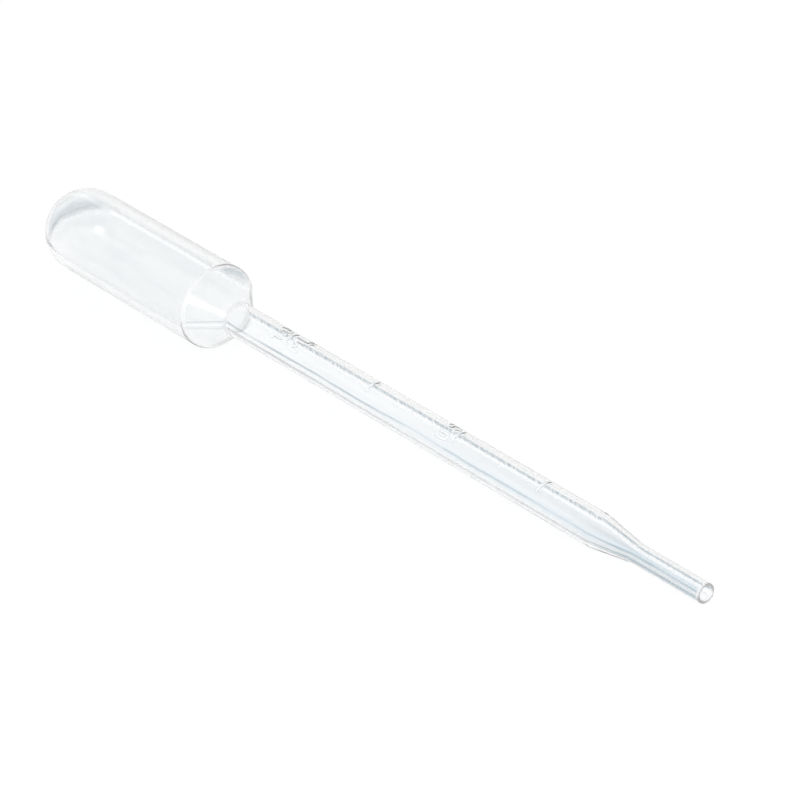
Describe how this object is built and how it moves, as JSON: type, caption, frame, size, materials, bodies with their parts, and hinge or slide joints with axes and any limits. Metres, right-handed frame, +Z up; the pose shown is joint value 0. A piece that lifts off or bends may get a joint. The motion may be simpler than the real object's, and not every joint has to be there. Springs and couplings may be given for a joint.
{
  "type": "dropper pipette",
  "caption": "Thin-walled clear plastic dropper pipette in one blow-moulded piece: squeeze bulb, conical shoulder, graduated stem, taper and narrow tip.",
  "frame": {"origin": "centre of the bounding box in plan, on the surface that the pipette lies on", "axes": "+X from the bulb towards the tip, +Z up from the surface, with the graduations on the upper side; the pipette's own axis dips towards the tip by about 2.7 degrees, because it lies on its shoulder's rim and on the foot of its stem"},
  "size_m": [0.1458, 0.013, 0.0145],
  "materials": {
    "clear_plastic": "clear, slightly milky soft plastic, as moulded"
  },
  "bodies": {
    "root": {"pipette": "clear_plastic"}
  },
  "joints": []
}
